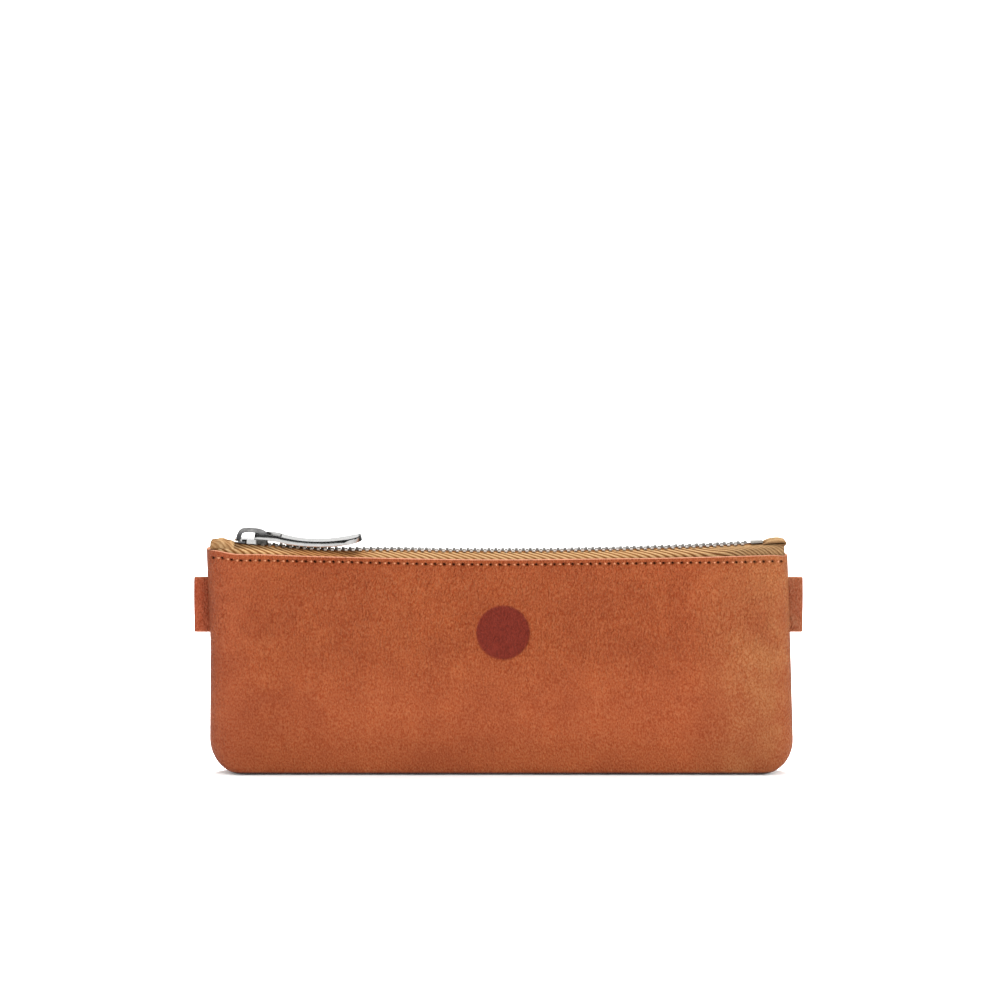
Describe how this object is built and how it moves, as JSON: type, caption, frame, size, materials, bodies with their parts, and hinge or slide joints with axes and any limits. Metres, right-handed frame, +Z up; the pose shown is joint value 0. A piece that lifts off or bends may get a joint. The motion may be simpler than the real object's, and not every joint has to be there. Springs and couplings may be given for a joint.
{
  "type": "zip pen case",
  "caption": "Slim upright leather pen pouch with a metal zip along its top edge, a long bowed pull and a folded finger tab in each side seam.",
  "frame": {"origin": "on the floor under the middle of the case", "axes": "+X along the zip towards its open end, -Y out of the front face, +Z up"},
  "size_m": [0.2208, 0.0248, 0.0884],
  "materials": {
    "body_leather": "matte, fine grain",
    "tab_leather": "matte",
    "zip_tape": "twill weave",
    "zip_metal": "polished nickel",
    "thread": "waxed thread"
  },
  "bodies": {
    "case": {"back_panel": "body_leather", "left_tab": "tab_leather", "right_tab": "tab_leather", "back_tape": "zip_tape", "back_teeth": "zip_metal", "back_top_stop": "zip_metal", "bottom_stop": "zip_metal", "back_top_stitching": "thread", "back_seam_stitching": "thread"},
    "front": {"front_panel": "body_leather", "front_tape": "zip_tape", "front_teeth": "zip_metal", "front_top_stop": "zip_metal", "front_top_stitching": "thread", "front_seam_stitching": "thread"},
    "slider": {"slider_body": "zip_metal", "slider_bridge": "zip_metal"},
    "pull": {"pull_tab": "zip_metal"}
  },
  "joints": [
    {"name": "slider_travel", "type": "hinge", "parent": "case", "child": "slider", "pos_m": [0, 0, 1.5774], "axis": [0, -1, 0], "range_deg": [0, 6.65], "deforming": ["front_teeth", "back_teeth", "front_tape"]},
    {"name": "mouth_open", "type": "hinge", "parent": "case", "child": "front", "pos_m": [0, 0, 0], "axis": [1, 0, 0], "range_deg": [0, 15]},
    {"name": "pull_swing", "type": "hinge", "parent": "slider", "child": "pull", "pos_m": [-0.08745, 0, 0.08586], "axis": [0, -1, 0], "range_deg": [0, 160]}
  ],
  "couplings": [
    {"joint": "mouth_open", "follows": "slider_travel", "ratio": 2.25}
  ]
}
